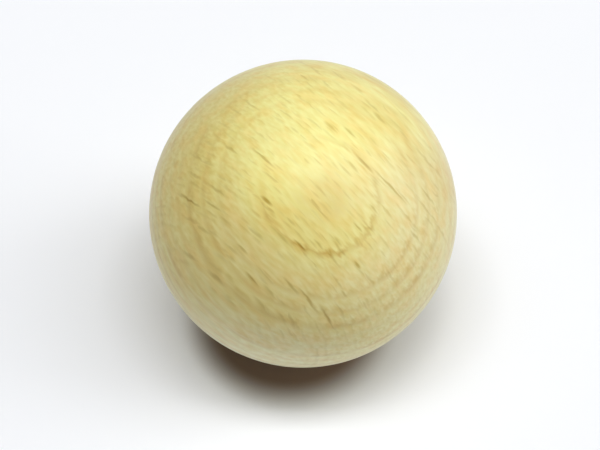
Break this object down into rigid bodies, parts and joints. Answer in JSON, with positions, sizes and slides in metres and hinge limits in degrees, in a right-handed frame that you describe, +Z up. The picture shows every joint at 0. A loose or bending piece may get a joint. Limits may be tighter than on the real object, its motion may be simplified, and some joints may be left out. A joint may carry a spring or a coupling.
{
  "type": "wooden ball",
  "caption": "Solid turned beech ball, round all over with no flat or bore, and with a bare sanded finish.",
  "frame": {"origin": "centre of the ball", "axes": "+Z up as the ball lies; the grain slopes from the back left down to the front right, and the growth layers face up and forwards, as the visual model paints them"},
  "size_m": [0.03, 0.03, 0.03],
  "materials": {
    "sanded_beech": "satin"
  },
  "bodies": {
    "root": {"ball": "sanded_beech"}
  },
  "joints": []
}
